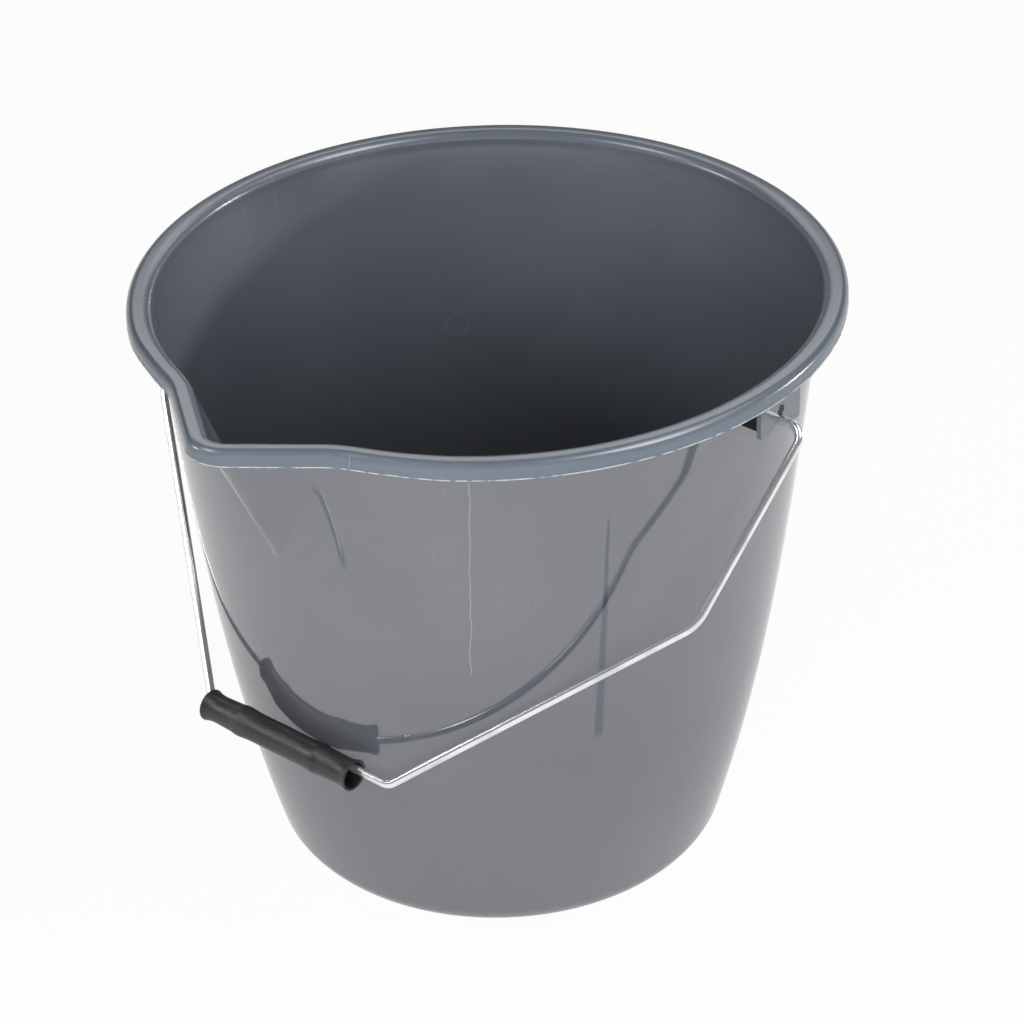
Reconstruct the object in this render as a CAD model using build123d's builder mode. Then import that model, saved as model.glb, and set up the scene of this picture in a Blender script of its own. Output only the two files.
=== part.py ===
import os
from math import acos, atan2, cos, degrees, radians, sin, sqrt

from build123d import *

# Bucket body: overall sizes
rim_radius = 155.0
height = 275.0
wall = 2.2
floor_thickness = 2.8

# Outer wall line: the neck under the lip, then how far in from it the foot and the curve's two handles are
neck_inset = 3.5
neck_drop = 19.0
foot_inset = 42.8
low_handle_inset = 17.5
high_handle_inset = 9.7
foot_round = 18.0
floor_round = 12.0
foot_ring_width = 8.0
foot_recess = 3.0

# Rolled lip, hollow underneath
lip_width = 8.8
lip_depth = 7.4
lip_skin = 2.2
lip_outer_round = 4.2
lip_inner_round = 2.0
mouth_edge = 3.0

# Pouring spout, facing -Y: how far its flanks' point stands out of the mouth circle, and their width there
spout_length = 26.4
spout_width = 86.2
spout_tip_round = 11.0
spout_blend = 40.0
spout_drop = 77.5

# Bail ears, one on each side, set behind the middle of the bucket
pivot_setback = 6.5
pivot_drop = 17.7
ear_width = 26.7
ear_plate = 2.4
ear_cheek = 2.0
ear_drop = 4.4
ear_corner = 1.5
cheek_drop = 0.5
lip_overhang = 3.0
wire_clearance = 0.3
throat_width = 3.4
notch_width = 14.0
notch_depth = 2.6
slit_width = 1.6
relief_diameter = 4.8
relief_rise = 4.6

# Wire bail, in its own plane: shoulder out from the ears, elbow in from it, reach from the pivot
wire_diameter = 4.0
hook_gap = 0.7
hook_length = 5.5
hook_bend = 3.0
shoulder_out = 12.8
shoulder_bend = 7.0
elbow_in = 11.0
elbow_reach = 90.5
elbow_bend = 18.0
hand_half = 52.3
hand_reach = 205.8
hand_bend = 6.5

# Grip: a loose tube on the straight part of the bail
grip_length = 85.5
grip_shift = -9.0
grip_drop = 2.9
grip_end_radius = 7.3
grip_neck_radius = 6.25
grip_bump_radius = 7.05
grip_mid_radius = 6.6
grip_neck_place = 6.5
grip_bump_place = 20.5
grip_bore_radius = 5.2
grip_mouth_radius = 5.9
grip_mouth_depth = 3.0
grip_edge_round = 0.5
rest_gap = 1.9

mouth_radius = rim_radius - lip_width
mouth_height = height - mouth_edge
neck_radius = mouth_radius - neck_inset
neck_height = height - neck_drop
foot_radius = neck_radius - foot_inset
low_handle_radius = neck_radius - low_handle_inset
high_handle_radius = neck_radius - high_handle_inset
floor_height = foot_recess + floor_thickness
lip_bottom = height - lip_depth
wall_top = height - lip_inner_round
spout_point = mouth_radius + spout_length
spout_root = sqrt(mouth_radius**2 - (spout_width / 2) ** 2)
flank = atan2(spout_point - spout_root, spout_width / 2)
spout_apex_height = height - spout_drop
pivot_height = height - pivot_drop
ear_face = rim_radius - lip_overhang
shoulder_half = ear_face + shoulder_out
elbow_half = shoulder_half - elbow_in
grip_reach = hand_reach + grip_drop


def wall_radius(level):
    # Outer wall radius at a height: the cubic curve of the wall line, whose height runs evenly
    t = level / neck_height
    low = (1 - t) ** 3 * foot_radius + 3 * (1 - t) ** 2 * t * low_handle_radius
    return low + 3 * (1 - t) * t**2 * high_handle_radius + t**3 * neck_radius


def rest_angle():
    # Angle below level at which the grip comes to lie against the front of the wall
    angle = radians(45)
    for _ in range(40):
        level = pivot_height - grip_reach * sin(angle)
        front = wall_radius(level) + grip_mid_radius + rest_gap
        angle = acos((pivot_setback + front) / grip_reach)
    return angle


def wall_line(inset):
    # The wall line drawn a wall's thickness further in, or not, as points of a cubic curve
    return (
        (foot_radius - inset, 0),
        (low_handle_radius - inset, neck_height / 3),
        (high_handle_radius - inset, neck_height * 2 / 3),
        (neck_radius - inset, neck_height),
    )


def flare_line(inset):
    # The flare from the neck to the mouth, which leaves the neck in the direction of the wall line
    rise = (mouth_height - neck_height) / 2
    turn = neck_radius + high_handle_inset * rise / (neck_height / 3)
    return (
        (neck_radius - inset, neck_height),
        (turn - inset, neck_height + rise),
        (mouth_radius + wall - inset, mouth_height),
    )


# Mouth outline: the circle of the bucket with the pointed spout, flanks blended into the circle
with BuildSketch() as spout_plan:
    with BuildLine():
        flank_run = spout_point * sin(flank)
        corner = (flank_run * cos(flank), flank_run * sin(flank) - spout_point)
        Polyline((0, -spout_point), corner, (-corner[0], corner[1]), close=True)
    make_face()
    fillet(spout_plan.vertices().sort_by(Axis.Y)[0], spout_tip_round)

with BuildSketch() as mouth_plan:
    Circle(mouth_radius)
    add(spout_plan.sketch)
    # Lowest in Y are the two ends of the rounded tip, then the two corners where the flanks meet the circle
    fillet(mouth_plan.vertices().sort_by(Axis.Y)[2:4], spout_blend)

spout_apex = wall_radius(spout_apex_height) - wall / 2

# Inside space: everything that is scooped out of the moulding
with BuildPart() as hollow:
    with BuildSketch(Plane.XZ):
        with BuildLine():
            Bezier(*wall_line(wall))
            Bezier(*flare_line(wall))
            Polyline(
                (mouth_radius, mouth_height),
                (0, mouth_height),
                (0, 0),
                (foot_radius - wall, 0),
            )
        make_face()
        Rectangle(rim_radius, floor_height, align=(Align.MIN, Align.MIN), mode=Mode.SUBTRACT)
    revolve(axis=Axis.Z)
    fillet(hollow.edges().group_by(Axis.Z)[0], floor_round)
    spout_top = Plane.XY.offset(mouth_height) * spout_plan.sketch.face()
    loft([spout_top, Vertex(0, wall - spout_apex, spout_apex_height)], ruled=True)
    with BuildSketch(Plane.XY.offset(mouth_height)):
        add(mouth_plan.sketch)
    extrude(amount=height)

# One ear: a plate with a snap-in slot for the wire, and two cheeks back to the wall
with BuildPart() as ear:
    with BuildSketch(Plane((ear_face, pivot_setback, pivot_height), (0, 1, 0), (1, 0, 0))):
        plate_top = wall_top - pivot_height
        with Locations((0, (plate_top - ear_drop) / 2)):
            RectangleRounded(ear_width, plate_top + ear_drop, ear_corner)
        Circle(wire_diameter / 2 + wire_clearance, mode=Mode.SUBTRACT)
        with Locations((0, relief_rise)):
            Circle(relief_diameter / 2, mode=Mode.SUBTRACT)
        with Locations((0, relief_rise / 2)):
            Rectangle(slit_width, relief_rise, mode=Mode.SUBTRACT)
        with BuildLine():
            Polyline(
                (-notch_width / 2, -ear_drop),
                (-throat_width / 2, notch_depth - ear_drop),
                (-throat_width / 2, 0),
                (throat_width / 2, 0),
                (throat_width / 2, notch_depth - ear_drop),
                (notch_width / 2, -ear_drop),
                close=True,
            )
        make_face(mode=Mode.SUBTRACT)
    extrude(amount=-ear_plate)
    with BuildSketch(Plane.XY.offset(pivot_height - cheek_drop)):
        cheek_depth = ear_face - ear_plate / 2 - neck_radius + wall
        with Locations((ear_face - ear_plate / 2, pivot_setback)):
            with GridLocations(0, ear_width - ear_cheek, 1, 2):
                Rectangle(cheek_depth, ear_cheek, align=(Align.MAX, Align.CENTER))
    extrude(amount=wall_top - pivot_height + cheek_drop)

# Rolled lip: a band round the mouth, rounded over the top and hollow underneath
with BuildPart() as lip:
    with BuildSketch(Plane.XY.offset(lip_bottom)):
        offset(mouth_plan.sketch, lip_width)
        add(mouth_plan.sketch, mode=Mode.SUBTRACT)
    extrude(amount=lip_depth)
    lip_top = lip.faces().sort_by(Axis.Z)[-1]
    fillet(lip_top.outer_wire().edges(), lip_outer_round)
    lip_top = lip.faces().sort_by(Axis.Z)[-1]
    fillet(lip_top.inner_wires()[0].edges(), lip_inner_round)
    with BuildSketch(Plane.XY.offset(lip_bottom)):
        offset(mouth_plan.sketch, lip_width - lip_skin)
    extrude(amount=lip_depth - lip_skin, mode=Mode.SUBTRACT)

# Bucket body: wall, spout, ears and lip moulded in one piece
with BuildPart() as bucket_body:
    with BuildSketch(Plane.XZ):
        with BuildLine():
            Bezier(*wall_line(0))
            Bezier(*flare_line(0))
            Polyline(
                (mouth_radius + wall, mouth_height),
                (mouth_radius + wall, wall_top),
                (0, wall_top),
                (0, foot_recess),
                (foot_radius - foot_round - foot_ring_width, foot_recess),
                (foot_radius - foot_round - foot_ring_width + foot_recess, 0),
                (foot_radius, 0),
            )
        make_face()
    revolve(axis=Axis.Z)
    fillet(bucket_body.edges().group_by(Axis.Z)[0].sort_by(SortBy.LENGTH)[-1], foot_round)
    spout_top = Plane.XY.offset(mouth_height) * offset(spout_plan.sketch, wall, mode=Mode.PRIVATE).face()
    loft([spout_top, Vertex(0, -spout_apex, spout_apex_height)], ruled=True)
    with BuildSketch(Plane.XY.offset(mouth_height)):
        offset(mouth_plan.sketch, wall)
    extrude(amount=wall_top - mouth_height)
    add(ear.part)
    mirror(ear.part, about=Plane.YZ)
    add(hollow.part, mode=Mode.SUBTRACT)
    add(lip.part)
bucket_body.part.label = "bucket_body"

# Wire bail: bent in one plane, hooked at both ends behind the ear plates, lying against the front
lean = rest_angle()
bail_plane = Plane((0, pivot_setback, pivot_height), (1, 0, 0), (0, sin(lean), -cos(lean)))
hook_half = ear_face - ear_plate - hook_gap - wire_diameter / 2
with BuildPart() as wire_bail:
    half_bail = [
        (hook_half, -hook_length),
        (hook_half, 0),
        (shoulder_half, 0),
        (elbow_half, elbow_reach),
        (hand_half, hand_reach),
    ]
    half_bends = [hook_bend, shoulder_bend, elbow_bend, hand_bend]
    with BuildLine(bail_plane) as wire_line:
        other_half = [(-across, out) for across, out in reversed(half_bail)]
        FilletPolyline(*half_bail, *other_half, radius=half_bends + half_bends[::-1])
    with BuildSketch(wire_line.line ^ 0):
        Circle(wire_diameter / 2)
    sweep()
wire_bail.part.label = "wire_bail"

# Grip: flared ends, a neck inside each, and a long slightly waisted middle
grip_axis_y = pivot_setback - grip_reach * cos(lean)
grip_axis_z = pivot_height - grip_reach * sin(lean)
grip_plane = Plane((grip_shift, grip_axis_y, grip_axis_z), (1, 0, 0), (0, sin(lean), -cos(lean)))
with BuildPart() as grip:
    with BuildSketch(grip_plane):
        with BuildLine():
            end = grip_length / 2
            neck = end - grip_neck_place
            bump = end - grip_bump_place
            mouth = end - grip_mouth_depth
            Spline(
                (-end, grip_end_radius),
                (-neck, grip_neck_radius),
                (-bump, grip_bump_radius),
                (0, grip_mid_radius),
                (bump, grip_bump_radius),
                (neck, grip_neck_radius),
                (end, grip_end_radius),
            )
            Polyline(
                (end, grip_end_radius),
                (end, grip_mouth_radius),
                (mouth, grip_bore_radius),
                (-mouth, grip_bore_radius),
                (-end, grip_mouth_radius),
                (-end, grip_end_radius),
            )
        make_face()
    revolve(axis=Axis(grip_plane.origin, grip_plane.x_dir))
    rims = grip.edges().filter_by(GeomType.CIRCLE).group_by(SortBy.RADIUS)[-1]
    fillet(rims, grip_edge_round)
grip.part.label = "grip"

print("bail lean below level, degrees:", round(degrees(lean), 3))
print("grip axis, y and z:", round(grip_axis_y, 3), round(grip_axis_z, 3))

os.makedirs("parts", exist_ok=True)
export_step(bucket_body.part, "parts/bucket_body.step")
export_step(wire_bail.part, "parts/wire_bail.step")
export_step(grip.part, "parts/grip.step")
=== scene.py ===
import math

import bpy
import numpy as np
from mathutils import Matrix, Vector


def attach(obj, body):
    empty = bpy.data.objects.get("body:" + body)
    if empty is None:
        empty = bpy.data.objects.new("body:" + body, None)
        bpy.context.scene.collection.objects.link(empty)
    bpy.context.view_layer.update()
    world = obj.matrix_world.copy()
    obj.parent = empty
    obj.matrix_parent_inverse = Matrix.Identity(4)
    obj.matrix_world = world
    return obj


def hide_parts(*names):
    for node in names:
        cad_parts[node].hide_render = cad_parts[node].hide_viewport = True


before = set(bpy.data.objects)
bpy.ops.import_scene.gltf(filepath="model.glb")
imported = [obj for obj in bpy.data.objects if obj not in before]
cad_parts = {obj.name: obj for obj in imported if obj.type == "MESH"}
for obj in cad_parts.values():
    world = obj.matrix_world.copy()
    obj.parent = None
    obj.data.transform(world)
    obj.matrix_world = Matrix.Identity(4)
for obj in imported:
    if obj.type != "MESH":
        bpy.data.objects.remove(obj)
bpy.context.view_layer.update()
mm = 0.001  # tables are in millimetres, meshes in metres
print("frame loaded:", ", ".join(sorted(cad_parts)))

camera = {
    "azimuth": 40.75, "elevation": 31.949, "roll": -1.352,  # degrees
    "distance": 1626.0, "right": 8.19, "up": 22.73, "aimHeight": 130.0,
    "focalPixels": 3600.0, "imagePixels": 1024, "sensor": 36.0,
}


def placeCamera(c):
    # Right, up and back vectors of a turntable view, rolled a little about the view line
    az, el, roll = (math.radians(c[k]) for k in ("azimuth", "elevation", "roll"))
    right = np.array([math.cos(az), math.sin(az), 0.0])
    back = np.array([math.sin(az) * math.cos(el), -math.cos(az) * math.cos(el), math.sin(el)])
    up = np.cross(back, right)
    eye = right * c["right"] + up * c["up"] + back * c["distance"] + np.array([0, 0, c["aimHeight"]])
    axes = np.stack([
        math.cos(roll) * right + math.sin(roll) * up,
        math.cos(roll) * up - math.sin(roll) * right,
        back,
        eye * mm,
    ], axis=1)
    data = bpy.data.cameras.new("camera")
    data.sensor_width = c["sensor"]
    data.lens = c["focalPixels"] * c["sensor"] / c["imagePixels"]
    made = bpy.data.objects.new("camera", data)
    made.matrix_world = Matrix(np.vstack([axes, [0, 0, 0, 1]]).tolist())
    bpy.context.scene.collection.objects.link(made)
    bpy.context.scene.camera = made


placeCamera(camera)
print("camera placed")


def newPiece(name, points, faces, body, node):
    # A smooth-shaded mesh at the origin, points in millimetres, that rides on a body and stands for a node
    mesh = bpy.data.meshes.new(name)
    mesh.from_pydata((points * mm).tolist(), [], faces)
    mesh.shade_smooth()
    piece = bpy.data.objects.new(name, mesh)
    bpy.context.scene.collection.objects.link(piece)
    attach(piece, body)
    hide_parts(node)
    return piece


def gridFaces(rows, cols, wrapRows=False):
    # Quads between neighbouring points of a grid whose columns close into a ring
    index = np.arange(rows * cols).reshape(rows, cols)
    if wrapRows:
        index = np.vstack([index, index[:1]])
    here, ahead = index[:-1], index[1:]
    quads = np.stack([here, ahead, np.roll(ahead, -1, 1), np.roll(here, -1, 1)], axis=-1)
    return quads.reshape(-1, 4).tolist()


def capFaces(row, cols, pole, flip):
    # A fan of triangles from one ring of the grid to a pole, flipped where the ring ends the grid
    ring = np.arange(cols) + row * cols
    after = np.roll(ring, -1)
    first, second = (after, ring) if flip else (ring, after)
    return np.stack([first, second, np.full(cols, pole)], axis=-1).tolist()


def cappedFaces(rows, cols):
    # The grid's quads and both its caps, whose poles are the two points after the grid's own
    count = rows * cols
    return gridFaces(rows, cols) + capFaces(0, cols, count, False) + capFaces(rows - 1, cols, count + 1, True)


def setUv(piece, across, along):
    # One UV per vertex, with the seam column lifted to 1 so that no face runs back over the whole map
    mesh = piece.data
    loops = np.empty(len(mesh.loops), np.int32)
    mesh.loops.foreach_get("vertex_index", loops)
    starts = np.empty(len(mesh.polygons), np.int32)
    mesh.polygons.foreach_get("loop_start", starts)
    face = np.searchsorted(starts, np.arange(len(loops)), side="right") - 1
    u, v = across[loops], along[loops]
    widest = np.maximum.reduceat(u, starts)[face]
    u = np.where(widest - u > 0.5, u + 1.0, u)
    layer = mesh.uv_layers.new(name="surface")
    layer.data.foreach_set("uv", np.stack([u, v], axis=1).astype(np.float32).ravel())


bucket = {
    "height": 275.0, "mouthRadius": 143.9, "mouthHeight": 270.2, "wall": 2.2,
    # the wall's curve from the foot to the neck, and the radius at its two handles
    "neckRadius": 141.57, "neckHeight": 246.0, "footRadius": 99.9, "lowHandle": 124.21, "highHandle": 132.37,
    "footRound": 18.0, "footRing": 8.0, "footRecess": 3.0, "floorHeight": 5.8, "floorRound": 12.0,
    "lipWidth": 11.1, "lipDepth": 7.4, "lipSkin": 2.2, "lipOuter": 4.0, "lipInner": 4.6, "lipEdge": 0.3,
    "lipStart": 166.0,  # degrees at which the inner round leaves the wall
    # the groove under the lip: the chamfer of its corner, out and down, and its gap to the wall
    "grooveChamfer": [0.5, 0.6], "grooveGap": 0.4,
    "spoutPoint": 169.71, "spoutFlank": 37.36, "spoutTip": 8.7, "spoutApex": 197.5, "spoutRidge": 4.2,
    # how widely the flanks ease into the round: at the mouth, and low on the wall up to a share of the spout;
    # over the lip it shrinks with the distance out, to nothing at a reach
    "spoutEase": 3.17, "spoutCrease": 0.8, "creaseShare": 0.35, "easeReach": 42.0,
    # the lip is narrower on the spout, and the mouth is a little long along the spout, both as shares
    "slimLip": 0.111, "slimFrom": 36.0, "slimTo": 24.0, "oval": 0.008, "ovalTurn": 81.0,
    # moulding flash on the lip's lower edge: how far it stands out, the heights of its rows over that edge,
    # its waves as share, rate, sway and rate of the sway, and drops of it as angle and size
    "flash": 0.22, "flashRows": [0.85, 0.6, 0.4], "flashWaves": [[0.3, 173, 2, 29], [0.2, 311, 3, 17]],
    "drops": [[13.05, 0.35], [23.55, 0.4], [28.1, 0.4], [47.0, 0.25], [63.0, 0.3]], "dropWidth": 0.35,
    # rows of the mesh, finer over a height, then of its rounds, the floor's smallest ring, and the rings under it
    "fineFrom": 188.0, "fineRows": 30, "insideRows": 20, "outsideRows": 22, "floorRows": 7,
    "floorRoundRows": 10, "footRoundRows": 16, "lipInnerRows": 10, "lipOuterRows": 12, "lipEdgeRows": 4,
    "floorMiddle": 10.0, "underRings": [1.0, 0.75, 0.45, 0.15],
    "turns": 500, "crowd": 0.6,
}


def wallRadius(level):
    # Outer wall: a cubic curve of radius over even steps of height, then a parabola out to the mouth,
    # which leaves along the cubic's end slope for half of its rise
    b = bucket
    t = np.clip(level / b["neckHeight"], 0, 1)
    cubic = (1 - t) ** 3 * b["footRadius"] + 3 * (1 - t) ** 2 * t * b["lowHandle"]
    cubic = cubic + 3 * (1 - t) * t**2 * b["highHandle"] + t**3 * b["neckRadius"]
    rise = b["mouthHeight"] - b["neckHeight"]
    f = np.clip((level - b["neckHeight"]) / rise, 0, 1)
    turn = b["neckRadius"] + (b["neckRadius"] - b["highHandle"]) * 1.5 * rise / b["neckHeight"]
    flare = (1 - f) ** 2 * b["neckRadius"] + 2 * f * (1 - f) * turn + f**2 * (b["mouthRadius"] + b["wall"])
    return np.where(level > b["neckHeight"], flare, cubic)


def ovalShare(turn, level):
    # The round grows into a slight oval: a cosine of twice the turn, times the square of the height
    b = bucket
    return 1 - b["oval"] * np.cos(2 * (turn - math.radians(b["ovalTurn"]))) * (level / b["height"]) ** 2


def easeBetween(value, low, high):
    # 0 at low, 1 at high, with a smooth start and end
    t = np.clip((value - low) / (high - low), 0, 1)
    return t * t * (3 - 2 * t)


def spoutedRadius(turn, circle, point, tip, ease):
    # Polar outline of a circle with a pointed spout: a flank is a straight line, distance / cos(turn - flank),
    # the tip is a small arc, and a smooth maximum eases the flanks into the circle
    flank = math.radians(bucket["spoutFlank"])
    turn = np.abs(turn)
    wedge = point * math.cos(flank) / np.cos(np.minimum(turn, flank) - flank)
    centre = point - tip / math.cos(flank)
    tipTurn = np.arctan2(tip * math.sin(flank), centre + tip * math.cos(flank))
    arc = centre * np.cos(turn) + np.sqrt(np.maximum(tip**2 - (centre * np.sin(turn)) ** 2, 0))
    wedge = np.where(turn < tipTurn, arc, wedge)
    gap = np.abs(wedge - circle)
    return np.maximum(wedge, circle) + np.maximum(ease - gap, 0) ** 2 / (4 * ease)


def stations(circle, point, tip, ease, level, lip=0.0, fin=0.0):
    # Rows of the section: the outline's four values, the height, and whether a row is lip or flash
    columns = (circle, point, tip, ease, level, lip, fin)
    return np.stack([column + 0.0 * level for column in columns], axis=1)


def wallStations(level, inset):
    # Outline values of the wall at each height: the spout shrinks evenly to its apex, the circle follows the wall
    b = bucket
    cosFlank = math.cos(math.radians(b["spoutFlank"]))
    apex = wallRadius(np.array(b["spoutApex"])) - b["wall"] / 2 - inset
    share = (level - b["spoutApex"]) / (b["mouthHeight"] - b["spoutApex"])
    top = b["spoutPoint"] + (b["wall"] - inset) / cosFlank
    point = apex + share * (top - apex)
    tip = np.maximum((b["spoutTip"] + b["wall"] - inset) * share, b["spoutRidge"])
    crease = b["spoutCrease"]
    ease = crease + (b["spoutEase"] - crease) * easeBetween(share, b["creaseShare"], 1.0)
    return stations(wallRadius(level) - inset, point, tip, ease, level)


def lipStations(out, level, fin=0.0):
    # Outline values of the lip: the mouth's outline moved out by a distance
    b = bucket
    point = b["spoutPoint"] + out / math.cos(math.radians(b["spoutFlank"]))
    ease = b["spoutEase"] * (1 - out / b["easeReach"])
    return stations(b["mouthRadius"] + out, point, b["spoutTip"] + out, ease, level, 1.0, fin)


def roundStations(radius, level):
    # Plain rings: the spout's values are smaller than any ring
    return stations(radius, 1.0, 0.5, 0.5, level)


def arcOf(centre, radius, start, stop, steps):
    # Points of an arc in the section plane, angles in degrees from straight out
    a = np.radians(np.linspace(start, stop, steps))
    return centre[0] + radius * np.cos(a), centre[1] + radius * np.sin(a)


def cornerOf(base, bend, inset):
    # Centre and end angle of the round between a level base and the leaning wall, stepping to the height where
    # they touch; the lean is the wall's run over one millimetre of height
    level = base + bend
    for _ in range(8):
        lean = math.atan(float(wallRadius(level + 0.5) - wallRadius(level - 0.5)))
        level = base + bend * (1 - math.sin(lean))
    return (float(wallRadius(level)) - inset - bend * math.cos(lean), base + bend), -math.degrees(lean)


def bucketSection():
    # The section from the middle of the floor up the inside, over the lip, down the outside and under the foot
    b = bucket
    h, w, skin, edge = b["height"], b["lipWidth"], b["lipSkin"], b["lipEdge"]
    inner, outer, edgeRows = b["lipInner"], b["lipOuter"], b["lipEdgeRows"]
    low = h - b["lipDepth"]
    floorCentre, floorAngle = cornerOf(b["floorHeight"], b["floorRound"], b["wall"])
    footCentre, footAngle = cornerOf(0.0, b["footRound"], 0.0)
    floorArc = arcOf(floorCentre, b["floorRound"], -90, floorAngle, b["floorRoundRows"])
    footArc = arcOf(footCentre, b["footRound"], footAngle, -90, b["footRoundRows"])
    flat = np.linspace(b["floorMiddle"], floorArc[0][0], b["floorRows"])[:-1]
    coarseIn = np.linspace(floorArc[1][-1], b["fineFrom"], b["insideRows"])[1:-1]
    coarseOut = np.linspace(footArc[1][0], b["fineFrom"], b["outsideRows"])[1:-1]
    fine = np.linspace(b["fineFrom"], b["mouthHeight"], b["fineRows"])
    chamferOut, chamferDown = b["grooveChamfer"]
    groove = np.array([w - skin, w - skin - chamferOut, b["wall"] + b["grooveGap"]])
    grooveLevel = np.array([h - skin - chamferDown, h - skin, h - skin])
    ring = b["footRadius"] - b["footRound"] - b["footRing"]
    under = ring * np.array(b["underRings"])
    below = np.append(ring + b["footRecess"], under)
    belowLevel = np.append(0.0, np.full_like(under, b["footRecess"]))
    parts = [
        roundStations(flat, np.full_like(flat, b["floorHeight"])),
        roundStations(*floorArc),
        wallStations(coarseIn, b["wall"]),
        wallStations(fine, b["wall"]),
        lipStations(*arcOf((inner, h - inner), inner, b["lipStart"], 90, b["lipInnerRows"])),
        lipStations(*arcOf((w - outer, h - outer), outer, 90, 0, b["lipOuterRows"])),
        lipStations(np.full(3, w), low + np.array(b["flashRows"]), np.array([0.0, 1.0, 1.0])),
        lipStations(*arcOf((w - edge, low + edge), edge, 0, -90, edgeRows)),
        lipStations(*arcOf((w - skin + edge, low + edge), edge, 270, 180, edgeRows)),
        lipStations(groove, grooveLevel),
        wallStations(fine[::-1], 0.0),
        wallStations(coarseOut[::-1], 0.0),
        roundStations(*footArc),
        roundStations(below, belowLevel),
    ]
    return np.concatenate(parts)


def flashOut(turn):
    # Ragged flash: half its reach with swaying sines on it, and a bell curve for each drop
    b = bucket
    wave = 0.5
    for share, rate, sway, swayRate in b["flashWaves"]:
        wave = wave + share * np.sin(rate * turn + sway * np.sin(swayRate * turn))
    out = b["flash"] * wave
    for angle, size in b["drops"]:
        out = out + size * np.exp(-(((np.degrees(turn) - angle) / b["dropWidth"]) ** 2))
    return out


def buildBucket():
    # Radius over turn and station; the turns crowd together round the spout
    b = bucket
    section = bucketSection()
    even = np.linspace(-math.pi, math.pi, b["turns"], endpoint=False)
    turn = even - b["crowd"] * np.sin(even)
    circle, point, tip, ease, level, lip, fin = (section[:, k : k + 1] for k in range(7))
    radius = spoutedRadius(turn[None, :], circle, point, tip, ease)
    mouth = spoutedRadius(turn, b["mouthRadius"], b["spoutPoint"], b["spoutTip"], b["spoutEase"])
    slim = b["slimLip"] * easeBetween(np.abs(np.degrees(turn)), b["slimFrom"], b["slimTo"])
    radius = radius - lip * (radius - mouth) * slim + fin * flashOut(turn)
    radius = radius * ovalShare(turn, level)
    shell = np.stack([radius * np.sin(turn), -radius * np.cos(turn), level + radius * 0], axis=-1)
    rows, cols = radius.shape
    poles = np.array([[0, 0, b["floorHeight"]], [0, 0, b["footRecess"]]])
    points = np.vstack([shell.reshape(-1, 3), poles])
    faces = cappedFaces(rows, cols)
    piece = newPiece("bucketShell", points, faces, "bucket", "bucket_body")
    # the lip's faces take the second material, whose pale tint is painted light
    lipFaces = np.minimum(section[:-1, 5], section[1:, 5]).astype(np.int32)
    finishAndLight = np.append(np.repeat(lipFaces, cols), np.zeros(2 * cols, np.int32))
    piece.data.polygons.foreach_set("material_index", finishAndLight)
    # the map runs round the bucket and along the section
    length = np.concatenate([[0], np.cumsum(np.hypot(np.diff(section[:, 0]), np.diff(section[:, 4])))])
    along = length / length[-1]
    across = np.tile(turn / (2 * math.pi) + 0.5, rows)
    setUv(piece, np.append(across, [0.5, 0.5]), np.append(np.repeat(along, cols), [0, 1]))
    return piece, along[section[:, 6] > 0]


bucketShell, flashAlong = buildBucket()
print("bucket shell:", len(bucketShell.data.polygons), "faces")

ears = {
    "face": 152.0, "plate": 2.4, "setback": 6.5, "level": 257.3, "width": 26.7, "drop": 4.4, "top": 15.3,
    "corner": 1.5, "hole": 2.3, "throat": 3.4, "notch": [[8.4, -4.4], [3.1, -1.2]],
    "relief": 2.4, "reliefRise": 4.6, "slit": 1.6, "cornerSteps": 6, "holeSteps": 14,
    "cheek": 2.0, "cheekInset": 0.2, "cheekDrop": 0.5, "cheekRows": 10,
    "bevel": 0.35, "bevelAngle": 40.0,
    "along": 0.465,  # place on the bucket's map, which gives the plates a duller gloss than the wall
}


def earOutline():
    # Half of the plate's edge from the middle of its top down to the throat, then mirrored: one closed loop,
    # because the notch, the wire's hole and the relief hole above it open into each other
    e = ears
    half, low = e["width"] / 2, -e["drop"]
    throat, waist = e["throat"] / 2, e["slit"] / 2
    holeStart = -math.degrees(math.acos(throat / e["hole"]))
    holeStop = math.degrees(math.acos(waist / e["hole"]))
    reliefStart = -math.degrees(math.acos(waist / e["relief"]))
    corner = arcOf((half - e["corner"], low + e["corner"]), e["corner"], 0, -90, e["cornerSteps"])
    hole = arcOf((0, 0), e["hole"], holeStart, holeStop, e["holeSteps"])
    relief = arcOf((0, e["reliefRise"]), e["relief"], reliefStart, 90, e["holeSteps"])
    arcs = [np.stack(arc, 1) for arc in (corner, hole, relief)]
    right = np.vstack([[[half, e["top"]]], arcs[0], e["notch"], arcs[1], arcs[2]])
    return np.vstack([right, right[::-1][1:] * np.array([-1, 1])])


def slab(outline, low, high, axis):
    # A flat outline given thickness along x or y: two faces and a band of quads, turned so that all face outward
    n = len(outline)
    points = np.vstack([np.insert(outline, axis, at, axis=1) for at in (low, high)])
    ring = np.arange(n)
    after = np.roll(ring, -1)
    band = np.stack([ring, after, after + n, ring + n], axis=1).tolist()
    faces = [ring[::-1].tolist(), (ring + n).tolist()] + band
    x, y = outline.T
    area = np.sum(x * np.roll(y, -1) - np.roll(x, -1) * y)
    if (area < 0) != (axis == 1):
        faces = [face[::-1] for face in faces]
    return points, faces


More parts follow.
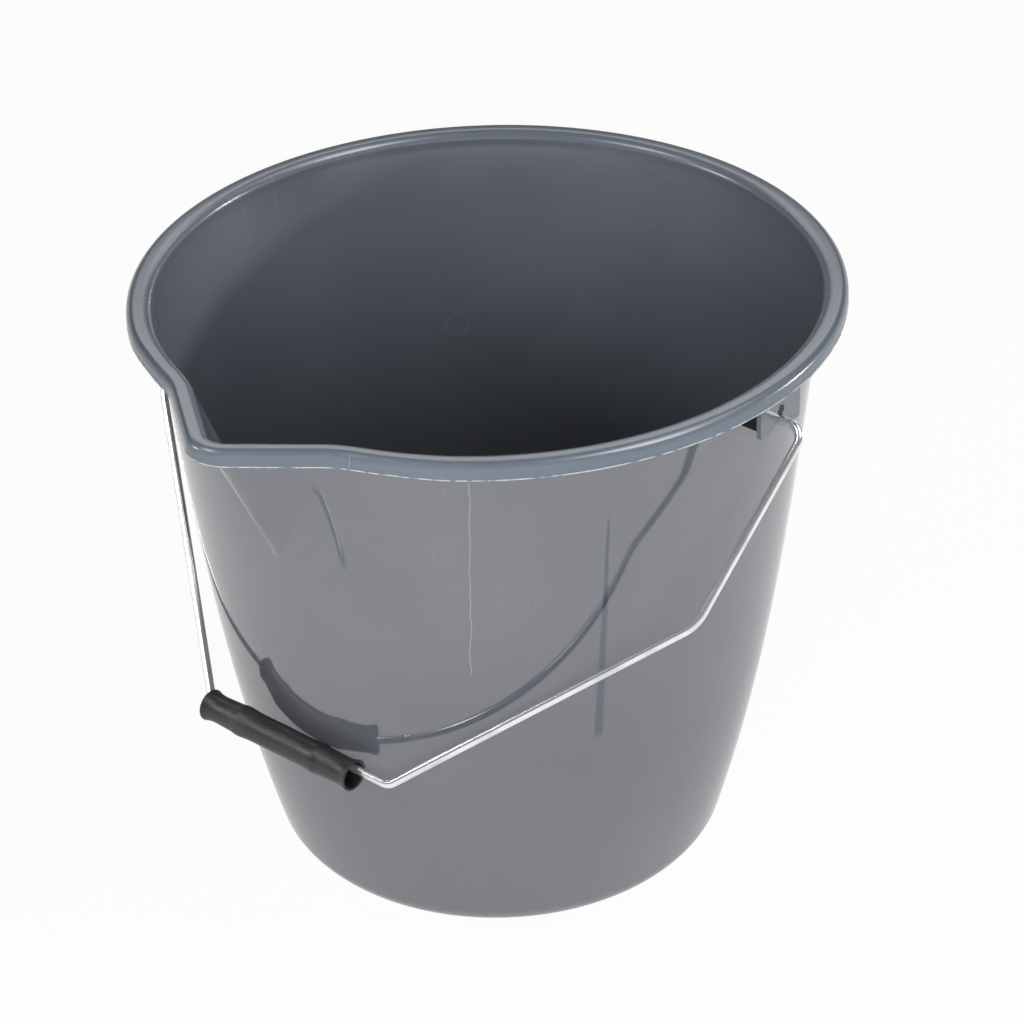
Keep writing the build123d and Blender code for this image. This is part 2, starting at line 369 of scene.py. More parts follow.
def buildEar(side, name):
    # The plate stands across the wire; two cheeks run back from it and end inside the wall's thickness
    e = ears
    plateOutline = earOutline() + np.array([e["setback"], e["level"]])
    made = [slab(plateOutline, e["face"] - e["plate"], e["face"], 0)]
    level = np.linspace(e["level"] - e["cheekDrop"], e["level"] + e["top"], e["cheekRows"])
    front = np.stack([np.full(2, e["face"] - e["plate"] / 2), level[[0, -1]]], 1)
    for end in (-1, 1):
        y = e["setback"] + end * ((e["width"] - e["cheek"]) / 2 - e["cheekInset"])
        turn = math.atan2(e["face"], -y)
        deep = (wallRadius(level) - bucket["wall"] / 2) * ovalShare(turn, level)
        back = np.stack([np.sqrt(deep**2 - y**2), level], 1)
        made.append(slab(np.vstack([front, back[::-1]]), y - e["cheek"] / 2, y + e["cheek"] / 2, 1))
    points, faces, count = [], [], 0
    for slabPoints, slabFaces in made:
        points.append(slabPoints)
        faces += [[i + count for i in face[::side]] for face in slabFaces]
        count += len(slabPoints)
    points = np.vstack(points) * np.array([side, 1, 1])
    piece = newPiece(name, points, faces, "bucket", "bucket_body")
    setUv(piece, np.full(count, 0.5), np.full(count, e["along"]))
    # the cheeks' faces take the second material, a painted shade
    shadedCheeks = np.arange(len(faces)) >= len(made[0][1])
    piece.data.polygons.foreach_set("material_index", shadedCheeks.astype(np.int32))
    bevel = piece.modifiers.new("softEdges", "BEVEL")
    bevel.width = e["bevel"] * mm
    bevel.segments = 2
    bevel.limit_method = "ANGLE"
    bevel.angle_limit = math.radians(e["bevelAngle"])
    bevel.harden_normals = True
    return piece


earRight = buildEar(1, "earRight")
earLeft = buildEar(-1, "earLeft")
print("ears built")

bail = {
    "pivotSetback": 6.5, "pivotHeight": 257.3, "lean": 48.683, "radius": 1.95,
    # across and out from the pivot line, from the hook on the right to the hook on the left
    "corners": [[146.9, -5.5], [146.9, 0], [164.8, 0], [155.3, 91.6], [49.5, 205.8],
                [-55.0, 205.8], [-152.3, 89.4], [-164.8, 0], [-146.9, 0], [-146.9, -5.5]],
    "bends": [3.0, 7.0, 18.0, 6.5, 6.5, 18.0, 7.0, 3.0], "bendSteps": 14, "ringSteps": 28,
    "endLength": 0.12, "endInset": 0.15,  # both cut ends are eased over
}


def roundedLine(corners, radii, steps):
    # Straight runs joined by arcs: each arc leaves its run radius * tan(turn / 2) before the corner
    runs = [corners[:1]]
    for before, corner, after, radius in zip(corners, corners[1:], corners[2:], radii):
        come = (corner - before) / np.linalg.norm(corner - before)
        go = (after - corner) / np.linalg.norm(after - corner)
        turn = math.acos(np.dot(come, go))
        start = corner - come * radius * math.tan(turn / 2)
        inward = go - come * math.cos(turn)
        inward = inward / np.linalg.norm(inward)
        a = np.linspace(0, turn, steps)[:, None]
        runs.append(start + radius * np.sin(a) * come + radius * (1 - np.cos(a)) * inward)
    runs.append(corners[-1:])
    return np.concatenate(runs)


def buildBail():
    # A circle carried along the bent line, which lies in one plane through the pivots
    b = bail
    flatLine = roundedLine(np.array(b["corners"], float), b["bends"], b["bendSteps"])
    lean = math.radians(b["lean"])
    pivot = np.array([0, b["pivotSetback"], b["pivotHeight"]])
    out = np.array([0, -math.cos(lean), -math.sin(lean)])
    line = pivot + flatLine[:, :1] * np.array([1.0, 0, 0]) + flatLine[:, 1:] * out
    normal = np.cross([1.0, 0, 0], out)
    along = np.gradient(line, axis=0)
    along = along / np.linalg.norm(along, axis=1, keepdims=True)
    side = np.cross(normal, along)
    # one more ring near each cut end, and the end rings a little smaller
    first, last = line[:1] + along[:1] * b["endLength"], line[-1:] - along[-1:] * b["endLength"]
    line = np.vstack([line[:1], first, line[1:-1], last, line[-1:]])
    side = np.vstack([side[:1], side, side[-1:]])
    size = np.full(len(line), b["radius"])
    size[[0, -1]] = b["radius"] - b["endInset"]
    a = np.linspace(0, 2 * math.pi, b["ringSteps"], endpoint=False)
    ring = np.cos(a)[None, :, None] * side[:, None, :] - np.sin(a)[None, :, None] * normal
    tube = line[:, None, :] + size[:, None, None] * ring
    points = np.vstack([tube.reshape(-1, 3), line[:1], line[-1:]])
    return newPiece("bailWire", points, cappedFaces(*tube.shape[:2]), "bail", "wire_bail")


bailWire = buildBail()
print("bail built")

grip = {
    "centre": [-11.3, -131.288, 100.551], "length": 85.4,
    "bore": 5.2, "mouth": 5.9, "mouthDepth": 3.0, "mouthEdge": 0.3, "boreStep": 20.0,
    # distance from the middle and radius, one half
    "outline": [[0, 6.6], [10, 6.55], [15, 6.6], [19, 6.85], [22, 7.05], [23, 7.04], [25, 6.72], [29, 6.5],
                [33, 6.32], [37, 6.28], [40, 6.6], [42.2, 7.2], [42.7, 7.3]],
    "edge": 0.4, "edgeStart": 72.0, "edgeSteps": 5, "lengthSteps": 150, "ringSteps": 72,
}


def smoothCurve(x, knots):
    # Piecewise cubic through the knots with slopes taken from their neighbours
    kx, ky = np.array(knots, float).T
    slope = np.gradient(ky, kx)
    i = np.clip(np.searchsorted(kx, x, side="right") - 1, 0, len(kx) - 2)
    h = kx[i + 1] - kx[i]
    t = (x - kx[i]) / h
    return ((1 + 2 * t) * (1 - t) ** 2 * ky[i] + t * (1 - t) ** 2 * h * slope[i]
            + t**2 * (3 - 2 * t) * ky[i + 1] + t**2 * (t - 1) * h * slope[i + 1])


def buildGrip():
    # A closed profile turned about the hand part of the wire: outside, end ring, flared bore and the other ring
    g = grip
    half, edge = g["length"] / 2, g["edge"]
    x = np.linspace(-half + edge, half - edge, g["lengthSteps"])
    outside = np.column_stack([x, smoothCurve(np.abs(x), g["outline"])])
    rim = np.stack(arcOf((half - edge, outside[-1, 1] - edge), edge, g["edgeStart"], 0, g["edgeSteps"]), 1)
    boreX = np.array([half, half - g["mouthEdge"], half - g["mouthDepth"], g["boreStep"], 0.0])
    boreR = np.array([g["mouth"] + g["mouthEdge"], g["mouth"], g["bore"], g["bore"], g["bore"]])
    boreRight = np.column_stack([boreX, boreR])
    flip = np.array([-1, 1])
    profile = np.vstack([outside, rim, boreRight, (boreRight[:-1] * flip)[::-1], (rim * flip)[::-1]])
    a = np.linspace(0, 2 * math.pi, g["ringSteps"], endpoint=False)
    points = np.stack([
        profile[:, :1] + 0 * a,
        profile[:, 1:] * np.cos(a),
        -profile[:, 1:] * np.sin(a),
    ], axis=-1) + np.array(g["centre"])
    rows, cols = points.shape[:2]
    faces = gridFaces(rows, cols, True)
    return newPiece("handGrip", points.reshape(-1, 3), faces, "handle_grip", "grip")


handGrip = buildGrip()
print("grip built")


def addNode(tree, kind, inputs=None, **settings):
    # A node with its settings; each input is a value or another node's output
    made = tree.nodes.new(kind)
    for name, value in settings.items():
        setattr(made, name, value)
    for name, value in (inputs or {}).items():
        if isinstance(value, bpy.types.NodeSocket):
            tree.links.new(value, made.inputs[name])
        else:
            made.inputs[name].default_value = value
    return made


def calc(tree, operation, *values):
    # One Math node
    return addNode(tree, "ShaderNodeMath", dict(enumerate(values)), operation=operation).outputs[0]


def times(tree, first, second):
    # The product of two values
    return calc(tree, "MULTIPLY", first, second)


def strongest(tree, masks):
    # The highest of several masks
    top = masks[0]
    for mask in masks[1:]:
        top = calc(tree, "MAXIMUM", top, mask)
    return top


def vectorCalc(tree, operation, *values):
    # One Vector Math node
    return addNode(tree, "ShaderNodeVectorMath", dict(enumerate(values)), operation=operation).outputs


def smoothStep(tree, value, low, high):
    # 0 at low, 1 at high, eased between; high may be the lower number
    inputs = {"Value": value, "From Min": low, "From Max": high}
    return addNode(tree, "ShaderNodeMapRange", inputs, interpolation_type="SMOOTHSTEP").outputs["Result"]


def mapRange(tree, value, low, high):
    # Straight line from low at 0 to high at 1
    inputs = {"Value": value, "To Min": low, "To Max": high}
    return addNode(tree, "ShaderNodeMapRange", inputs).outputs["Result"]


def mixColor(tree, share, first, second):
    # first * (1 - share) + second * share
    return addNode(tree, "ShaderNodeMix", {0: share, 6: first, 7: second}, data_type="RGBA").outputs[2]


def noiseOf(tree, vector, scale, detail):
    # Smooth noise round 0.5, with finer layers added as detail
    inputs = {"Vector": vector, "Scale": scale, "Detail": detail}
    return addNode(tree, "ShaderNodeTexNoise", inputs).outputs["Fac"]


def objectPoint(tree):
    # The point on the piece in its own metres
    return tree.nodes.new("ShaderNodeTexCoord").outputs["Object"]


def newGroup(name, inputs, outputs):
    # An empty shader group with named float sockets
    tree = bpy.data.node_groups.new(name, "ShaderNodeTree")
    for label, value in inputs.items():
        socket = tree.interface.new_socket(label, in_out="INPUT", socket_type="NodeSocketFloat")
        socket.default_value = value
    for label in outputs:
        tree.interface.new_socket(label, in_out="OUTPUT", socket_type="NodeSocketFloat")
    return tree, tree.nodes.new("NodeGroupInput").outputs, tree.nodes.new("NodeGroupOutput").inputs


effects = {
    "grainDetail": 2.0, "cloudDetail": 4.0,
    "dotCore": 0.5,  # full part of a speck's radius
    # middle values of the noise that show as hairs, and the patches they lie in
    "hairEdges": [0.012, 0.003], "hairDetail": 1.0, "patchScale": 45.0, "patchDetail": 2.0, "patchEdge": 0.12,
    "wanderScale": 45.0, "wanderDetail": 5.0,
    "lineCore": 0.3,  # full part of a line's half width
}


def grainGroup():
    # Moulded grain: fine noise for the bump and slow clouds for small changes of colour and gloss
    inputs = {"Grain Scale": 900.0, "Cloud Scale": 14.0}
    tree, given, out = newGroup("mouldedGrain", inputs, ["Grain", "Clouds"])
    point = objectPoint(tree)
    tree.links.new(noiseOf(tree, point, given["Grain Scale"], effects["grainDetail"]), out["Grain"])
    tree.links.new(noiseOf(tree, point, given["Cloud Scale"], effects["cloudDetail"]), out["Clouds"])
    return tree


def speckGroup():
    # Dust and chips: the few cells whose random value is low get a small round dot
    tree, given, out = newGroup("specks", {"Scale": 70.0, "Size": 0.06, "Share": 0.2}, ["Mask"])
    cells = addNode(tree, "ShaderNodeTexVoronoi", {"Vector": objectPoint(tree), "Scale": given["Scale"]})
    chance = addNode(tree, "ShaderNodeSeparateColor", {"Color": cells.outputs["Color"]})
    picked = calc(tree, "LESS_THAN", chance.outputs[0], given["Share"])
    reach = times(tree, given["Size"], chance.outputs[1])
    dot = smoothStep(tree, cells.outputs["Distance"], reach, times(tree, reach, effects["dotCore"]))
    tree.links.new(times(tree, picked, dot), out["Mask"])
    return tree


def scratchGroup():
    # Hair scratches: noise stretched far along one way, of which only the thin middle values show, in patches
    inputs = {"Tilt": 0.4, "Fineness": 240.0, "Stretch": 0.04, "Share": 0.5}
    tree, given, out = newGroup("hairScratches", inputs, ["Mask"])
    point = objectPoint(tree)
    turning = {"Vector": point, "Angle": given["Tilt"]}
    turned = addNode(tree, "ShaderNodeVectorRotate", turning, rotation_type="Y_AXIS").outputs[0]
    x, y, z = addNode(tree, "ShaderNodeSeparateXYZ", {"Vector": turned}).outputs
    stretched = {"X": x, "Y": y, "Z": times(tree, z, given["Stretch"])}
    vector = addNode(tree, "ShaderNodeCombineXYZ", stretched).outputs[0]
    streak = noiseOf(tree, vector, given["Fineness"], effects["hairDetail"])
    offMiddle = calc(tree, "ABSOLUTE", calc(tree, "SUBTRACT", streak, 0.5))
    thin = smoothStep(tree, offMiddle, *effects["hairEdges"])
    patch = noiseOf(tree, point, effects["patchScale"], effects["patchDetail"])
    edge = calc(tree, "SUBTRACT", 1.0, given["Share"])
    shown = smoothStep(tree, patch, edge, calc(tree, "ADD", edge, effects["patchEdge"]))
    tree.links.new(times(tree, thin, shown), out["Mask"])
    return tree


def lineMarkGroup():
    # One upright line on the wall or across the lip: the arc from its angle, which slants, bends and wanders
    # with height, against a half width that tapers to the top
    inputs = {"Angle": 0.0, "Slant": 0.0, "Bend": 0.0, "Half Width": 0.0004, "Taper": 0.0,
              "Low": 0.1, "High": 0.2, "Wander": 0.002, "Fade": 0.003}
    tree, given, out = newGroup("lineMark", inputs, ["Mask"])
    x, y, z = addNode(tree, "ShaderNodeSeparateXYZ", {"Vector": objectPoint(tree)}).outputs
    turn = calc(tree, "ARCTAN2", x, times(tree, y, -1.0))
    radius = calc(tree, "SQRT", calc(tree, "ADD", times(tree, x, x), times(tree, y, y)))
    waving = {"W": z, "Scale": effects["wanderScale"], "Detail": effects["wanderDetail"]}
    wave = addNode(tree, "ShaderNodeTexNoise", waving, noise_dimensions="1D").outputs["Fac"]
    drift = times(tree, calc(tree, "SUBTRACT", wave, 0.5), given["Wander"])
    rise = calc(tree, "SUBTRACT", z, given["Low"])
    lean = calc(tree, "MULTIPLY_ADD", given["Bend"], rise, given["Slant"])
    middle = calc(tree, "MULTIPLY_ADD", lean, rise, given["Angle"])
    arc = calc(tree, "ADD", times(tree, calc(tree, "SUBTRACT", turn, middle), radius), drift)
    share = calc(tree, "DIVIDE", rise, calc(tree, "SUBTRACT", given["High"], given["Low"]))
    left = calc(tree, "SUBTRACT", 1.0, times(tree, given["Taper"], share))
    half = times(tree, given["Half Width"], left)
    line = smoothStep(tree, calc(tree, "ABSOLUTE", arc), half, times(tree, half, effects["lineCore"]))
    above = smoothStep(tree, z, given["Low"], calc(tree, "ADD", given["Low"], given["Fade"]))
    below = smoothStep(tree, z, given["High"], calc(tree, "SUBTRACT", given["High"], given["Fade"]))
    tree.links.new(times(tree, line, times(tree, above, below)), out["Mask"])
    return tree


groups = {"grain": grainGroup(), "specks": speckGroup(), "scratches": scratchGroup(), "line": lineMarkGroup()}


def placed(tree, group, **inputs):
    # A group node with its own values, names given with underscores for spaces
    made = tree.nodes.new("ShaderNodeGroup")
    made.node_tree = groups[group]
    for name, value in inputs.items():
        made.inputs[name.replace("_", " ")].default_value = value
    return made.outputs


def newMaterial(name):
    # A material with its node tree and its shader
    made = bpy.data.materials.new(name)
    made.use_nodes = True
    return made, made.node_tree, made.node_tree.nodes["Principled BSDF"]


def dress(tree, shader, color, rough, grain, strength, depth):
    # Colour, roughness and the grain's bump on a shader, the bump's depth in millimetres
    bump = addNode(tree, "ShaderNodeBump", {"Height": grain, "Strength": strength, "Distance": depth * mm})
    for name, output in (("Base Color", color), ("Roughness", rough), ("Normal", bump.outputs[0])):
        tree.links.new(output, shader.inputs[name])


plastic = {
    "color": [0.088, 0.103, 0.13, 1], "pale": [0.1, 0.115, 0.143, 1], "cloudEdges": [0.35, 0.65],
    "scuffAndHighlight": [0.36, 0.36, 0.37, 1], "wornRough": 0.3, "paintedReflection": [0.008, 0.026, 0.055, 1],
    "grain": {"Grain_Scale": 700.0, "Cloud_Scale": 11.0}, "bump": [0.06, 0.2],
    # where the map turns from inside to outside, then each finish: tint over the colour and roughness of both;
    # the inside's paler tint and the lip's pale tints are painted light
    "outsideEdges": [0.44, 0.5],
    "body": {"name": "bucketPlastic", "tints": [[1.15, 1.12, 1.08, 1], [1.08, 0.98, 0.93, 1]],
             "rough": [0.36, 0.05], "ior": 2.05},
    "lip": {"name": "lipPlastic", "tints": [[1.4, 1.42, 1.38, 1], [1.4, 1.42, 1.38, 1]],
            "rough": [0.24, 0.24], "ior": 1.5},
    # the ears' cheeks: a painted shade, dark and dull plastic standing in for the shade in the pocket between the
    # plate, the wall and the lip
    "cheekShade": {"color": [0.012, 0.013, 0.015, 1], "rough": [0.6, 0.8], "ior": 1.2,
               "grain": {"Grain_Scale": 700.0, "Cloud_Scale": 60.0}},
    # lines on the plastic: angle from the spout, slant and bend in degrees over metres, half width, taper to the
    # top, low, high, wander, fade of the ends, strength; the last two tables show on the outside only: the second
    # outer mark is a painted highlight, and the last table's dark lines are painted reflections
    "marks": [[-20.0, 0, 0, 0.35, 0, 266, 276, 0.4, 3, 0.12], [19.5, 0, 0, 0.35, 0, 266, 276, 0.4, 3, 0.15],
              [88.2, 0, 0, 0.5, 0, 268, 276, 0.4, 3, 0.1], [96.3, 0, 0, 0.5, 0, 268, 276, 0.4, 3, 0.1],
              [-88.2, 0, 0, 0.4, 0, 248, 276, 0.4, 3, 0.1], [-96.3, 0, 0, 0.4, 0, 248, 276, 0.4, 3, 0.1]],
    "outerMarks": [[36.2, 11.0, 0, 0.36, 0, 158, 262, 3.0, 3, 0.42],
                   [14.3, -26.5, -1377, 0.55, 0.4, 212, 248, 0.8, 9, 0.4]],
    "paintedReflections": [[60.55, 0, 0, 3.2, 0.75, 112, 238, 0.8, 9, 0.7],
               [14.5, -26.5, -1377, 2.2, 0.2, 205, 252, 0.8, 10, 0.8]],
    "specks": {"Scale": 90.0, "Size": 0.055, "Share": 0.3}, "speckStrength": 0.35,
    "hairs": {"Tilt": 0.35, "Fineness": 210.0, "Stretch": 0.03, "Share": 0.36}, "hairStrength": 0.1,
    # scratches round one place inside the far rim, over a reach with a full core
    "rubs": {"Tilt": 1.38, "Fineness": 320.0, "Stretch": 0.03, "Share": 0.6}, "rubStrength": 0.1,
    "rubPlace": [-25.0, 128.0, 262.0], "rubReach": [55.0, 16.5],
    # a faint ring on the far wall, and the half width of its line
    "gate": [-98.0, 89.8, 180.6], "gateRadius": 5.6, "gateLine": [0.9, 0.2], "gateStrength": 0.1,
    # pale flash: its reach along the map in widths of the fin, and the noise that breaks it up
    "flash": [0.45, 0.45, 0.46, 1], "flashReach": [1.6, 0.9], "flashStrength": 0.8,
    "breakScale": 160.0, "breakDetail": 3.0, "breakEdges": [0.36, 0.52],
}


def lineMark(tree, angle, slant, bend, half, taper, low, high, wander, fade, strength):
    # One mark of the tables, which are in degrees and millimetres
    mark = placed(
        tree, "line", Angle=math.radians(angle), Slant=math.radians(slant), Bend=math.radians(bend),
        Half_Width=half * mm, Taper=taper, Low=low * mm, High=high * mm, Wander=wander * mm, Fade=fade * mm,
    )
    return times(tree, mark["Mask"], strength)


def distanceTo(tree, place):
    # Distance in metres from a place in millimetres
    return vectorCalc(tree, "DISTANCE", objectPoint(tree), [v * mm for v in place])["Value"]


def wearAndHighlightMask(tree, outside):
    # Specks, hairs, rubs, the ring and the line marks, each at its own strength; one outer line mark is a painted
    # highlight
    p = plastic
    near = smoothStep(tree, distanceTo(tree, p["rubPlace"]), *[v * mm for v in p["rubReach"]])
    offRing = calc(tree, "SUBTRACT", distanceTo(tree, p["gate"]), p["gateRadius"] * mm)
    gate = smoothStep(tree, calc(tree, "ABSOLUTE", offRing), *[v * mm for v in p["gateLine"]])
    masks = [
        times(tree, placed(tree, "specks", **p["specks"])["Mask"], p["speckStrength"]),
        times(tree, placed(tree, "scratches", **p["hairs"])["Mask"], p["hairStrength"]),
        times(tree, times(tree, placed(tree, "scratches", **p["rubs"])["Mask"], near), p["rubStrength"]),
        times(tree, gate, p["gateStrength"]),
    ]
    masks += [lineMark(tree, *mark) for mark in p["marks"]]
    masks += [times(tree, outside, lineMark(tree, *mark)) for mark in p["outerMarks"]]
    return strongest(tree, masks)


def bucketPlastic(finishAndLight):
    # Cloudy plastic with painted dark reflections, scuffs and a painted highlight line, pale on the lip's flash,
    # with a tint and gloss for each side
    p = plastic
    material, tree, shader = newMaterial(finishAndLight["name"])
    surface = addNode(tree, "ShaderNodeUVMap", uv_map="surface").outputs[0]
    along = addNode(tree, "ShaderNodeSeparateXYZ", {"Vector": surface}).outputs[1]
    outside = smoothStep(tree, along, *p["outsideEdges"])
    grain = placed(tree, "grain", **p["grain"])
    color = mixColor(tree, smoothStep(tree, grain["Clouds"], *p["cloudEdges"]), p["color"], p["pale"])
    # painted reflections: dark lines on the outside wall
    for paintedReflection in p["paintedReflections"]:
        color = mixColor(tree, times(tree, outside, lineMark(tree, *paintedReflection)), color, p["paintedReflection"])
    # wear, together with the painted highlight line among the outer marks, turns the colour pale
    worn = wearAndHighlightMask(tree, outside)
    color = mixColor(tree, worn, color, p["scuffAndHighlight"])
    middle, width = float(flashAlong.mean()), float(np.ptp(flashAlong))
    offEdge = calc(tree, "ABSOLUTE", calc(tree, "SUBTRACT", along, middle))
    edge = smoothStep(tree, offEdge, *[width * v for v in p["flashReach"]])
    broken = noiseOf(tree, objectPoint(tree), p["breakScale"], p["breakDetail"])
    edge = times(tree, edge, smoothStep(tree, broken, *p["breakEdges"]))
    color = mixColor(tree, times(tree, edge, p["flashStrength"]), color, p["flash"])
    # painted light: the paler inside tint and the lip's pale tints lift the colour
    color = vectorCalc(tree, "MULTIPLY", color, mixColor(tree, outside, *finishAndLight["tints"]))[0]
    rough = mapRange(tree, outside, *finishAndLight["rough"])
    rough = calc(tree, "ADD", rough, times(tree, worn, p["wornRough"]))
    shader.inputs["IOR"].default_value = finishAndLight["ior"]
    dress(tree, shader, color, rough, grain["Grain"], *p["bump"])
    return material


def cheekShadePlastic():
    # Painted shade for the ears' cheeks: dark and dull plastic standing in for the shade between plate, wall and
    # lip, with the slow clouds in its roughness
    cheekShade = plastic["cheekShade"]
    material, tree, shader = newMaterial("cheekShadePlastic")
    clouds = placed(tree, "grain", **cheekShade["grain"])["Clouds"]
    shader.inputs["Base Color"].default_value = cheekShade["color"]
    shader.inputs["IOR"].default_value = cheekShade["ior"]
    tree.links.new(mapRange(tree, clouds, *cheekShade["rough"]), shader.inputs["Roughness"])
    return material


zinc = {
    "color": [0.86, 0.87, 0.88, 1], "dull": [0.66, 0.67, 0.68, 1], "dullEdges": [0.4, 0.75],
    "metallic": 0.85, "rough": [0.14, 0.3],
    "grain": {"Grain_Scale": 1500.0, "Cloud_Scale": 70.0}, "bump": [0.08, 0.2],
}


def zincWire():
    # Bright zinc that dulls in clouds
    material, tree, shader = newMaterial("zincWire")
    grain = placed(tree, "grain", **zinc["grain"])
    color = mixColor(tree, smoothStep(tree, grain["Clouds"], *zinc["dullEdges"]), zinc["color"], zinc["dull"])
    rough = mapRange(tree, grain["Clouds"], *zinc["rough"])
    shader.inputs["Metallic"].default_value = zinc["metallic"]
    dress(tree, shader, color, rough, grain["Grain"], *zinc["bump"])
    return material


black = {
    "color": [0.021, 0.021, 0.023, 1], "worn": [0.038, 0.038, 0.04, 1], "wornEdges": [0.45, 0.75],
    "dust": [0.25, 0.25, 0.25, 1], "specks": {"Scale": 260.0, "Size": 0.12, "Share": 0.12}, "speckStrength": 0.4,
    # painted shade in the bore, between these distances from the mouth's radius: deeper black
    "deep": [0.006, 0.006, 0.006, 1], "deepRough": 0.85, "deepEdges": [0.2, -0.1],
    "rough": [0.34, 0.5], "grain": {"Grain_Scale": 1100.0, "Cloud_Scale": 60.0}, "bump": [0.25, 0.3],
}


def gripPlastic():
    # Satin black with dust, and a painted shade in the bore, where the distance from the axis is small: deeper
    # black and dull
    material, tree, shader = newMaterial("gripPlastic")
    grain = placed(tree, "grain", **black["grain"])
    specks = placed(tree, "specks", **black["specks"])["Mask"]
    worn = smoothStep(tree, grain["Clouds"], *black["wornEdges"])
    color = mixColor(tree, worn, black["color"], black["worn"])
    color = mixColor(tree, times(tree, specks, black["speckStrength"]), color, black["dust"])
    offset = vectorCalc(tree, "SUBTRACT", objectPoint(tree), [v * mm for v in grip["centre"]])[0]
    fromAxis = vectorCalc(tree, "LENGTH", vectorCalc(tree, "MULTIPLY", offset, [0, 1, 1])[0])["Value"]
    bore = smoothStep(tree, fromAxis, *[(grip["mouth"] + v) * mm for v in black["deepEdges"]])
    # painted shade: the bore turns deeper black
    color = mixColor(tree, bore, color, black["deep"])
    rough = mapRange(tree, grain["Clouds"], *black["rough"])
    rough = calc(tree, "MAXIMUM", rough, times(tree, bore, black["deepRough"]))
    dress(tree, shader, color, rough, grain["Grain"], *black["bump"])
    return material


bodyMaterial, lipMaterial = bucketPlastic(plastic["body"]), bucketPlastic(plastic["lip"])
cheekShadeMaterial = cheekShadePlastic()
# the lip and the ears' cheeks take a second material; the cheeks' one is a painted shade
for piece, second in ((bucketShell, lipMaterial), (earRight, cheekShadeMaterial), (earLeft, cheekShadeMaterial)):
    piece.data.materials.append(bodyMaterial)
    piece.data.materials.append(second)
bailWire.data.materials.append(zincWire())
handGrip.data.materials.append(gripPlastic())
print("materials made")

studio = {
    # the floor runs out level and turns up into a low white wall: radius and height of its rings
    "floor": [[150, 0], [500, 0], [1200, 0], [3000, 0], [5200, 0], [5700, 60], [5950, 300], [6000, 900]],
    "floorTurns": 96, "floorColor": [0.86, 0.86, 0.86, 1], "backdropShare": 0.95,
    # what glossy surfaces see of the floor is a little darker round the bucket
    "shade": 0.84, "shadeReach": [150.0, 330.0],
    # the dome is bright over this direction and dark on the other side
    "domeToward": [0.653, -0.757, 0.0], "domeEdges": [-0.2, 1.0], "domeLevels": [0.04, 0.1],
    # name, place, aim, width, height, watts, and whether it lights the diffuse part, the gloss or both
    "softboxes": [
        ["frontFill", [608, -610, 533], [0, 0, 230], 900, 300, 7.5, "diffuse"],
        ["leftFill", [-610, -1007, 819], [0, 0, 230], 400, 300, 4.5, "diffuse"],
        ["lowRight", [1046, 1310, 548], [0, 0, 250], 90, 90, 9.0, "both"],
        ["highRight", [584, 470, 1569], [0, 0, 270], 1090, 690, 7.5, "both"],
        ["softRight", [735, 208, 1322], [0, 0, 270], 420, 560, 8.0, "gloss"],
        ["softLeft", [-424, -699, 1280], [0, 0, 270], 420, 350, 5.0, "gloss"],
        ["tipLeft", [-902, -835, 693], [0, 0, 270], 250, 220, 4.0, "gloss"],
        ["backPanel", [-424, 492, 757], [0, 0, 275], 1100, 270, 2.64, "gloss"],
    ],
}


def seenShare(tree, share):
    # The share where the ray comes from the camera, a glossy or a clear surface, and 0 elsewhere
    path = tree.nodes.new("ShaderNodeLightPath").outputs
    rays = [path["Is Camera Ray"], path["Is Glossy Ray"], path["Is Transmission Ray"]]
    return times(tree, strongest(tree, rays), share)


def floorWhite():
    # Plain diffuse white for light, and a white glow for what is seen, so that the ground stays white; what
    # glossy surfaces see of the glow carries a painted shadow, darker round the bucket
    s = studio
    material = bpy.data.materials.new("floorWhite")
    material.use_nodes = True
    tree = material.node_tree
    tree.nodes.clear()
    lit = addNode(tree, "ShaderNodeBsdfDiffuse", {"Color": s["floorColor"]}).outputs[0]
    away = vectorCalc(tree, "LENGTH", objectPoint(tree))["Value"]
    # painted shadow: the glow that glossy surfaces see dims round the bucket
    shade = mapRange(tree, smoothStep(tree, away, *[v * mm for v in s["shadeReach"]]), s["shade"], 1.0)
    direct = tree.nodes.new("ShaderNodeLightPath").outputs["Is Camera Ray"]
    glow = addNode(tree, "ShaderNodeEmission", {"Strength": calc(tree, "MAXIMUM", shade, direct)}).outputs[0]
    seen = seenShare(tree, s["backdropShare"])
    mix = addNode(tree, "ShaderNodeMixShader", {0: seen, 1: lit, 2: glow}).outputs[0]
    addNode(tree, "ShaderNodeOutputMaterial", {"Surface": mix})
    return material


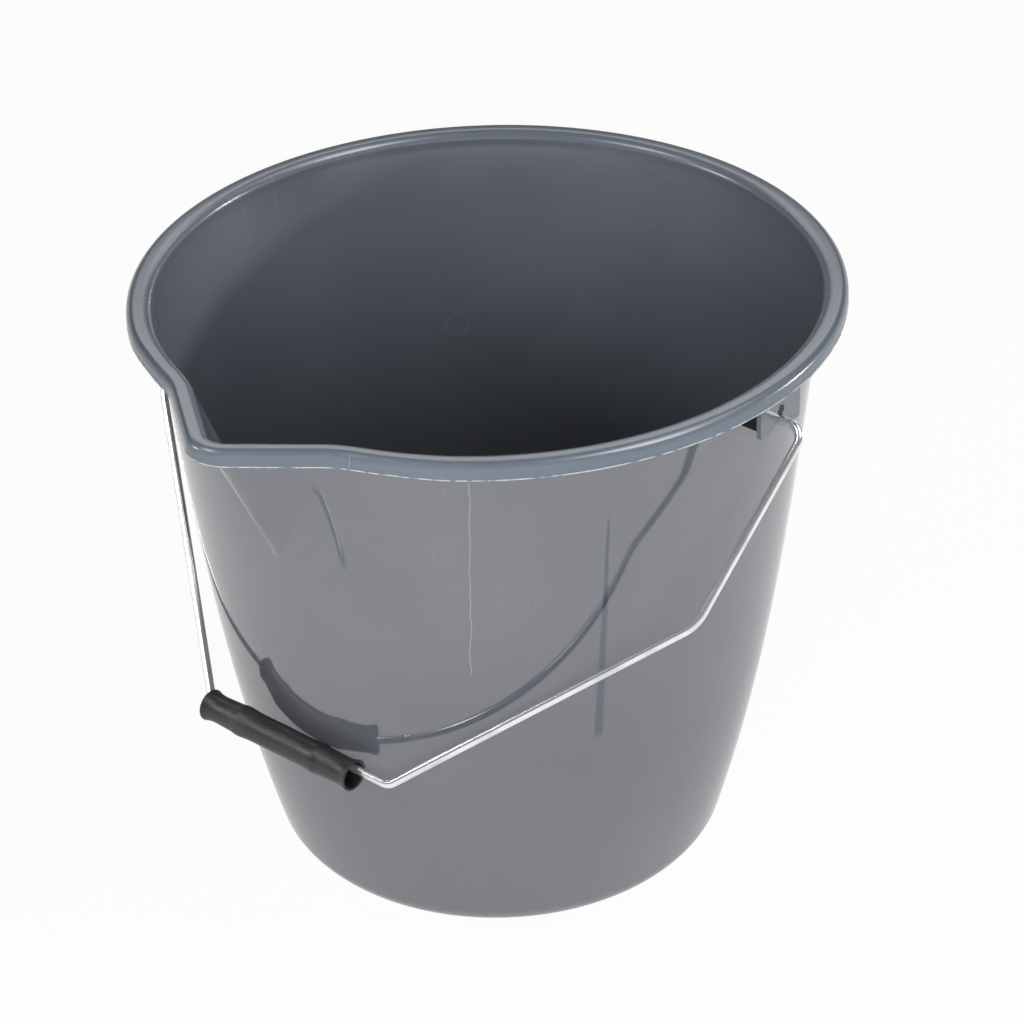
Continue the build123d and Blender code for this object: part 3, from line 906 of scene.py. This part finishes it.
def buildFloor():
    # Rings of the floor's profile turned about the middle, with a fan to the middle
    rings = np.array(studio["floor"], float)
    a = np.linspace(0, 2 * math.pi, studio["floorTurns"], endpoint=False)
    grid = np.stack([rings[:, :1] * np.cos(a), rings[:, :1] * np.sin(a), rings[:, 1:] + 0 * a], axis=-1)
    rows, cols = grid.shape[:2]
    points = np.vstack([grid.reshape(-1, 3), [[0, 0, 0]]]) * mm
    mesh = bpy.data.meshes.new("floor")
    mesh.from_pydata(points.tolist(), [], gridFaces(rows, cols) + capFaces(0, cols, rows * cols, False))
    mesh.shade_smooth()
    floor = bpy.data.objects.new("floor", mesh)
    bpy.context.scene.collection.objects.link(floor)
    mesh.materials.append(floorWhite())


def buildDome():
    # A faint world light, eased from one side to the other
    world = bpy.data.worlds.new("studio")
    world.use_nodes = True
    tree = world.node_tree
    tree.nodes.clear()
    way = tree.nodes.new("ShaderNodeTexCoord").outputs["Generated"]
    toward = vectorCalc(tree, "DOT_PRODUCT", way, studio["domeToward"])["Value"]
    level = mapRange(tree, smoothStep(tree, toward, *studio["domeEdges"]), *studio["domeLevels"])
    dome = addNode(tree, "ShaderNodeBackground", {"Color": [1, 1, 1, 1], "Strength": level}).outputs[0]
    addNode(tree, "ShaderNodeOutputWorld", {"Surface": dome})
    bpy.context.scene.world = world


def hangSoftboxes():
    # Flat lamps, each turned to face its aim
    for name, where, aim, width, height, watts, part in studio["softboxes"]:
        data = bpy.data.lights.new(name, "AREA")
        data.shape, data.size, data.size_y, data.energy = "RECTANGLE", width * mm, height * mm, watts
        lamp = bpy.data.objects.new(name, data)
        lamp.location = np.array(where) * mm
        lamp.visible_diffuse, lamp.visible_glossy = part != "gloss", part != "diffuse"
        lamp.rotation_mode = "QUATERNION"
        lamp.rotation_quaternion = (Vector(aim) - Vector(where)).to_track_quat("-Z", "Y")
        bpy.context.scene.collection.objects.link(lamp)


buildFloor()
buildDome()
hangSoftboxes()
bpy.context.scene.view_settings.view_transform = "Standard"
print("studio lit")
